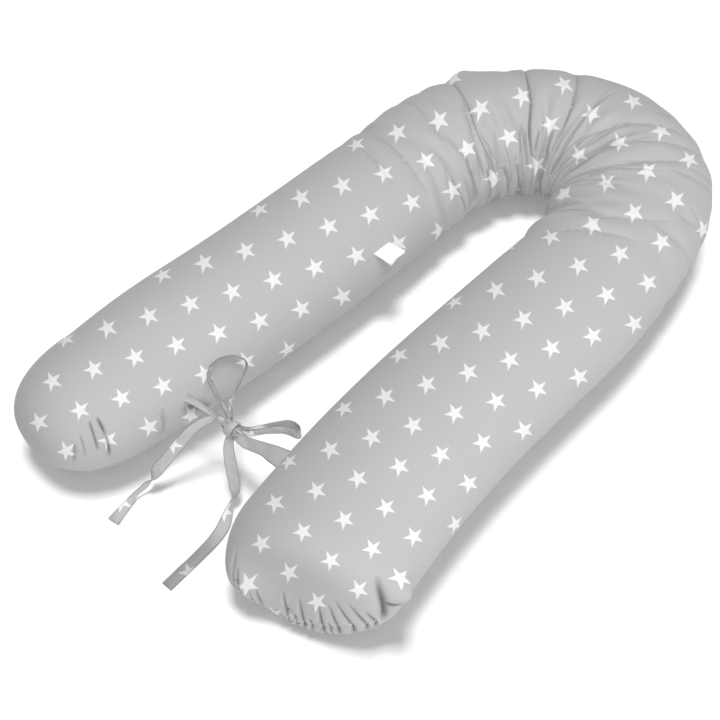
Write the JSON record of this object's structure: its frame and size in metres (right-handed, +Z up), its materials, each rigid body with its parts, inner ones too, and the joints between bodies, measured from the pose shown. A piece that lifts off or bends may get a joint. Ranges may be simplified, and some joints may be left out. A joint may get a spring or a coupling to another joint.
{
  "type": "pregnancy pillow",
  "caption": "Long stuffed tube bent into a U, in grey cotton with a white star print, its arms held together by tapes tied in a bow.",
  "frame": {"origin": "middle of the bounding box's bottom face, on the surface that the pillow lies on", "axes": "+Y from the arm ends towards the bend, +X from the far arm with the label to the near arm, +Z up"},
  "size_m": [0.5123, 0.9762, 0.1493],
  "materials": {
    "star_fabric": "matt woven cotton, grey with small white five-pointed stars",
    "tape_fabric": "matt woven cotton, grey with parts of white stars",
    "label_fabric": "smooth white ribbon, blank"
  },
  "bodies": {
    "root": {"pillow": "star_fabric", "tie_left": "tape_fabric", "tie_right": "tape_fabric", "label": "label_fabric"}
  },
  "joints": []
}
